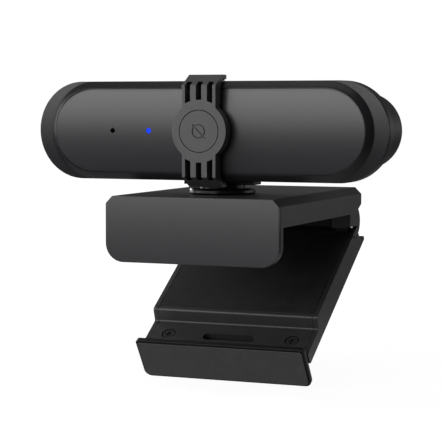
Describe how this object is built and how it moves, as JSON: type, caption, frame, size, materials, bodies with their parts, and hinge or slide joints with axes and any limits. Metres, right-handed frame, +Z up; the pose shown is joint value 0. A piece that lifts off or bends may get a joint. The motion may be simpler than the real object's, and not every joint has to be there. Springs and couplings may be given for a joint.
{
  "type": "webcam on monitor clip",
  "caption": "Wide webcam head with a sliding lens cover, on a tilting, swivelling neck over a folding clip for the top of a screen.",
  "frame": {"origin": "on the neck's swivel axis, in the face of the pad that rests on top of the screen", "axes": "+X to the right along the head, the lens looks along -Y, +Z up along the swivel axis"},
  "size_m": [0.1138, 0.0799, 0.0951],
  "materials": {
    "satin_charcoal": "satin, fine grain",
    "panel_grey": "satin gloss",
    "rear_charcoal": "fine texture",
    "window_glass": "clear",
    "barrel_black": "flocked black",
    "lens_glass": "coated",
    "holder_black": "moulded",
    "sensor": "glossy package",
    "board_green": "solder mask",
    "steel": "zinc plated",
    "socket_ivory": "moulded",
    "mic_can": "stamped can",
    "rubber_black": "soft",
    "led_body": "moulded lens",
    "blue_lens": "tinted",
    "black_steel": "black oxide",
    "cover_grey": "satin",
    "gloss_black": "polished",
    "neck_black": "satin",
    "clip_charcoal": "satin, fine grain",
    "brass": "turned",
    "toe_rubber": "soft"
  },
  "bodies": {
    "head": {"front_frame": "satin_charcoal", "front_panel": "panel_grey", "rear_cover": "rear_charcoal", "lens_window": "window_glass", "lens_barrel": "barrel_black", "lens_elements": "lens_glass", "lens_holder": "holder_black", "image_sensor": "sensor", "main_board": "board_green", "board_screws": "steel", "cable_socket": "socket_ivory", "front_board": "board_green", "microphone": "mic_can", "mic_gasket": "rubber_black", "status_led": "led_body", "light_pipe": "blue_lens", "cable_inlet_bush": "rubber_black", "case_screws": "black_steel", "tilt_pin": "steel"},
    "lens_cover": {"cover_band": "cover_grey", "cover_cap": "cover_grey"},
    "neck": {"swivel_base": "gloss_black", "neck_bracket": "neck_black", "tilt_washers": "steel", "swivel_washer": "steel", "swivel_screw": "steel"},
    "clip": {"jaw_shell": "clip_charcoal", "jaw_plate": "neck_black", "jaw_pad": "rubber_black", "jaw_screws": "steel", "lip_plate": "panel_grey", "lip_pad": "rubber_black", "hinge_block": "neck_black", "leg_pin": "steel"},
    "leg": {"leg_shell": "clip_charcoal", "leg_frame": "clip_charcoal", "leg_pad": "rubber_black", "leg_screws": "black_steel", "tripod_insert": "brass", "toe_pin": "steel"},
    "toe": {"toe_plate": "neck_black", "toe_pad": "toe_rubber"}
  },
  "joints": [
    {"name": "head_swivel", "type": "hinge", "parent": "clip", "child": "neck", "pos_m": [0, 0, 0.0105], "axis": [0, 0, 1], "range_deg": [-170, 170]},
    {"name": "head_tilt", "type": "hinge", "parent": "neck", "child": "head", "pos_m": [0, 0, 0.016], "axis": [-1, 0, 0], "range_deg": [-2, 30]},
    {"name": "cover_slide", "type": "slide", "parent": "head", "child": "lens_cover", "axis": [1, 0, 0], "range_m": [-0.03, 0.03]},
    {"name": "leg_hinge", "type": "hinge", "parent": "clip", "child": "leg", "pos_m": [0, 0.0458, -0.0024], "axis": [1, 0, 0], "range_deg": [-33, 70]},
    {"name": "toe_hinge", "type": "hinge", "parent": "leg", "child": "toe", "pos_m": [0, 0.00284, -0.04091], "axis": [1, 0, 0], "range_deg": [-90, 30]}
  ]
}
